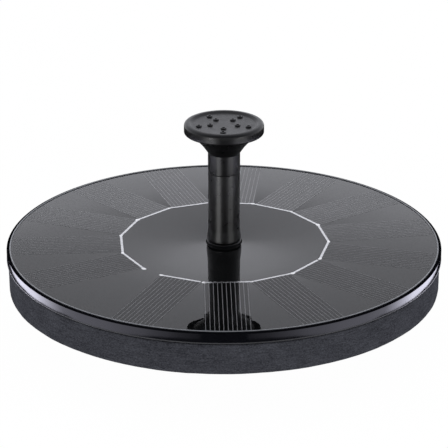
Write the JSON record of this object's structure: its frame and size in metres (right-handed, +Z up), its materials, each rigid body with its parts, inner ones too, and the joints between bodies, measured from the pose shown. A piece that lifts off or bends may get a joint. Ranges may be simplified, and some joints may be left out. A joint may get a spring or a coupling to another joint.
{
  "type": "floating solar fountain pump",
  "caption": "Round solar panel on a foam float ring, with a small submersible pump underneath and an upright riser, trumpet and spray disc in the middle.",
  "frame": {"origin": "centre of the disc in plan, at the level of the pump's underside, on which the object stands when it is out of the water", "axes": "+Z up along the riser; the pump's filter cover faces -Y and its motor axis runs along Y; +X completes the right hand"},
  "size_m": [0.16, 0.16, 0.0783],
  "materials": {
    "tray": "gloss",
    "clear_cover": "gloss",
    "backing_board": "satin",
    "solar_cell": "satin",
    "ribbon": "satin",
    "float_foam": "matte",
    "pump_plastic": "satin",
    "impeller": "satin",
    "filter_sponge": "matte",
    "rubber": "matte",
    "laminations": "satin",
    "copper": "satin",
    "circuit_board": "satin",
    "chip": "matte",
    "ceramic": "gloss",
    "magnet": "satin",
    "screw_steel": "satin",
    "red_insulation": "satin",
    "black_insulation": "satin",
    "fitting_plastic": "satin"
  },
  "bodies": {
    "root": {"deck_tray": "tray", "panel_cover": "clear_cover", "backing_board": "backing_board", "solar_cell_01": "solar_cell", "solar_cell_02": "solar_cell", "solar_cell_03": "solar_cell", "solar_cell_04": "solar_cell", "solar_cell_05": "solar_cell", "solar_cell_06": "solar_cell", "solar_cell_07": "solar_cell", "solar_cell_08": "solar_cell", "solar_cell_09": "solar_cell", "solar_cell_10": "solar_cell", "solar_cell_11": "solar_cell", "solar_cell_12": "solar_cell", "solar_cell_13": "solar_cell", "solar_cell_14": "solar_cell", "cell_ribbon": "ribbon", "float_ring": "float_foam", "pump_head": "pump_plastic", "chamber_cover": "pump_plastic", "chamber_o_ring": "rubber", "motor_housing": "pump_plastic", "rear_cap": "pump_plastic", "rotor_can": "pump_plastic", "stator_core": "laminations", "stator_coil_1": "copper", "stator_coil_2": "copper", "stator_coil_3": "copper", "stator_coil_4": "copper", "driver_board": "circuit_board", "driver_chip": "chip", "hall_sensor": "chip", "shaft": "ceramic", "front_bush": "rubber", "rear_bush": "rubber", "mount_screw_1": "screw_steel", "mount_screw_2": "screw_steel", "mount_screw_3": "screw_steel", "mount_screw_4": "screw_steel", "lead_red": "red_insulation", "lead_black": "black_insulation", "lead_grommet": "rubber"},
    "rotor": {"rotor_magnet": "magnet", "thrust_washer": "ceramic", "impeller": "impeller"},
    "filter": {"filter_cover": "pump_plastic", "filter_sponge": "filter_sponge"},
    "riser": {"riser_tube": "fitting_plastic"},
    "trumpet": {"nozzle_trumpet": "fitting_plastic"},
    "spray_head": {"spray_disc": "fitting_plastic"}
  },
  "joints": [
    {"name": "impeller_spin", "type": "hinge", "parent": "root", "child": "rotor", "pos_m": [-0.007, 0, 0.0132], "axis": [0, 1, 0], "continuous": true},
    {"name": "filter_pull", "type": "slide", "parent": "root", "child": "filter", "axis": [0, -1, 0], "range_m": [0, 0.016]},
    {"name": "riser_pull", "type": "slide", "parent": "root", "child": "riser", "axis": [0, 0, 1], "range_m": [0, 0.014]},
    {"name": "trumpet_pull", "type": "slide", "parent": "riser", "child": "trumpet", "axis": [0, 0, 1], "range_m": [0, 0.013]},
    {"name": "spray_disc_pull", "type": "slide", "parent": "trumpet", "child": "spray_head", "axis": [0, 0, 1], "range_m": [0, 0.006]}
  ]
}
